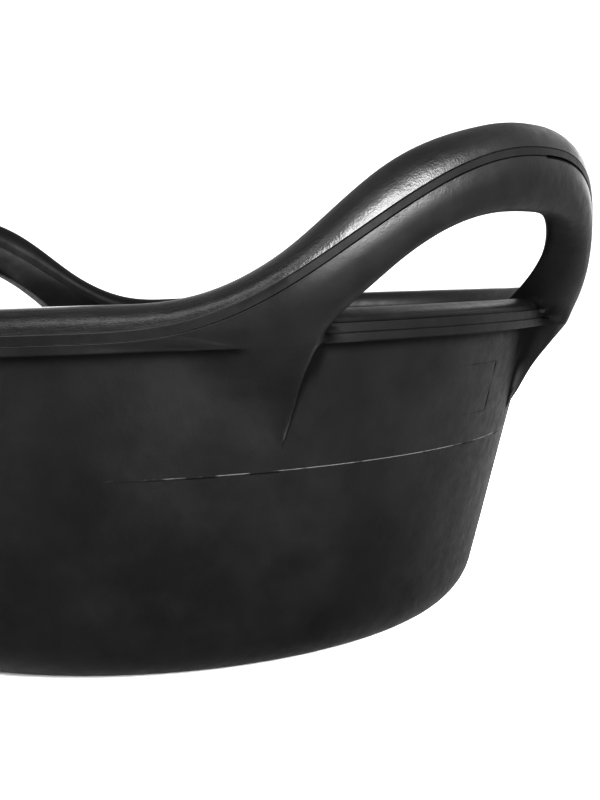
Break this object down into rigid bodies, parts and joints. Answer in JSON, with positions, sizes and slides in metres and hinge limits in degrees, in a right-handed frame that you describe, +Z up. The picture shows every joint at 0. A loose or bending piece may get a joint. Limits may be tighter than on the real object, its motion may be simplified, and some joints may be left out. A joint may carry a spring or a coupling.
{
  "type": "ground feeder",
  "caption": "Round black rubber feed tub with tapered walls, open at the top, whose rolled rim sweeps up into an arched carrying handle at each side.",
  "frame": {"origin": "middle of the flat underside, on the ground", "axes": "+X towards one handle, +Z up out of the tub"},
  "size_m": [0.506, 0.43, 0.231],
  "materials": {
    "tub_rubber": "matt black moulded rubber, faintly mottled",
    "handle_rubber": "black rubber with a low sheen, brushed along the rim's bead and the handles"
  },
  "bodies": {
    "root": {"tub_floor": "tub_rubber", "lower_wall": "tub_rubber", "upper_wall": "tub_rubber", "rim_flange": "tub_rubber", "front_bead": "handle_rubber", "back_bead": "handle_rubber", "front_band": "tub_rubber", "back_band": "tub_rubber", "right_crown": "handle_rubber", "left_crown": "handle_rubber", "right_strip": "tub_rubber", "left_strip": "tub_rubber", "right_grip": "handle_rubber", "left_grip": "handle_rubber", "right_bar": "tub_rubber", "left_bar": "tub_rubber"}
  },
  "joints": []
}
